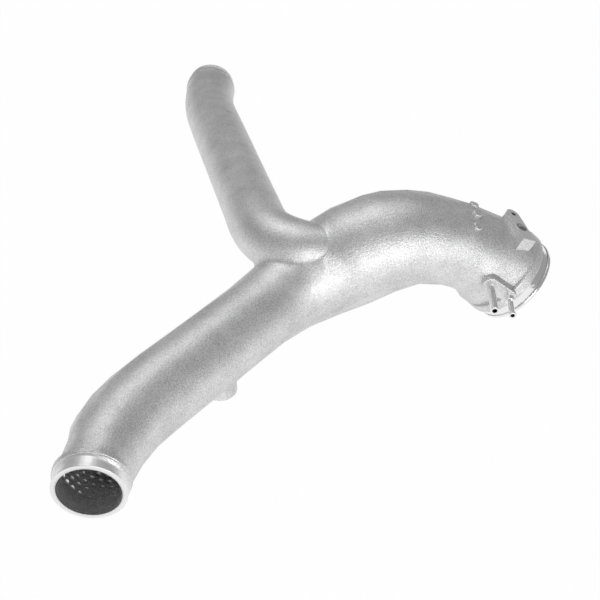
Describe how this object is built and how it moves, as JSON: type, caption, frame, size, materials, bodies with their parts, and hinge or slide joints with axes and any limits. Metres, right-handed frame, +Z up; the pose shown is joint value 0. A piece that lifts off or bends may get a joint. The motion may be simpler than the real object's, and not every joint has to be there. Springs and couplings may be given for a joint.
{
  "type": "intake y-pipe",
  "caption": "Cast aluminium intake pipe that joins two hose inlets into one larger outlet, with a sensor pad and hose nipples.",
  "frame": {"origin": "centre of the near inlet's mouth", "axes": "+Y runs from the near inlet to the far inlet, +X to the outlet and +Z up"},
  "size_m": [0.4461, 0.7406, 0.1387],
  "materials": {
    "cast_aluminium": "bead-blasted cast",
    "turned_aluminium": "turned",
    "insert_steel": "turned"
  },
  "bodies": {
    "root": {"pipe_casting": "cast_aluminium", "sensor_insert": "insert_steel", "long_nipple": "turned_aluminium", "short_nipple": "turned_aluminium"}
  },
  "joints": []
}
